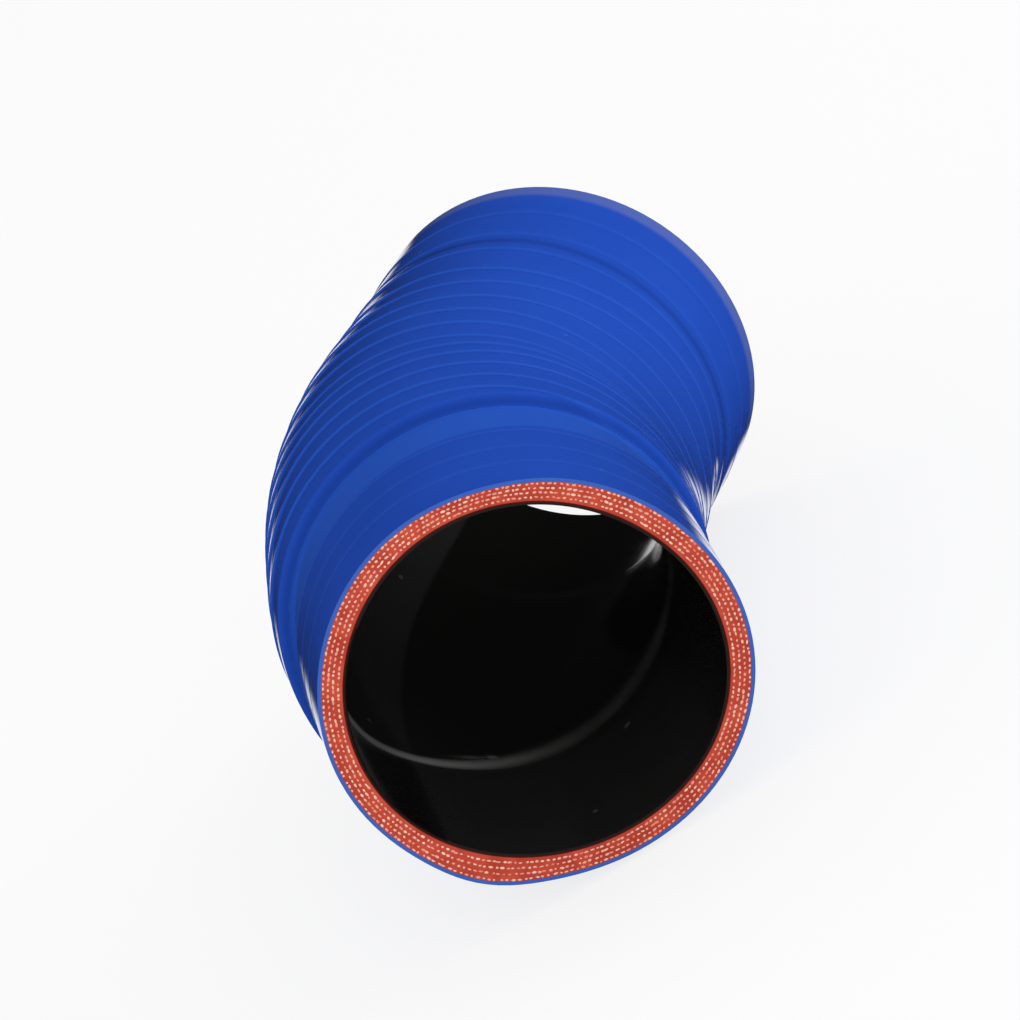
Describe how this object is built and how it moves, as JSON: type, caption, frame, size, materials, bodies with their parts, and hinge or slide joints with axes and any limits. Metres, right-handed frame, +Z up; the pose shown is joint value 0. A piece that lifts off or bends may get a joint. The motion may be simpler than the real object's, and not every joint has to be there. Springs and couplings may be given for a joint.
{
  "type": "turbocharger hose",
  "caption": "Short moulded silicone elbow hose for charge air, with a fabric-reinforced wall, a tape-wrapped outside and plain cuffs that clamp over pipe ends.",
  "frame": {"origin": "the point on the floor under the middle of the hose's box, with the hose lying on its side as it comes to rest", "axes": "+Z up; -Y the way the near mouth faces, to within two degrees; the far end turns towards +X"},
  "size_m": [0.1014, 0.1486, 0.0781],
  "materials": {
    "blue_silicone_cover": "satin blue silicone with the fine raised edges of the curing tape",
    "red_silicone_and_fabric": "cut edge of orange-red silicone with four plies of pale fabric showing as rows of thread ends",
    "black_liner": "smooth, slightly glossy black"
  },
  "bodies": {
    "root": {"outer_cover": "blue_silicone_cover", "reinforced_wall": "red_silicone_and_fabric", "inner_liner": "black_liner"}
  },
  "joints": []
}
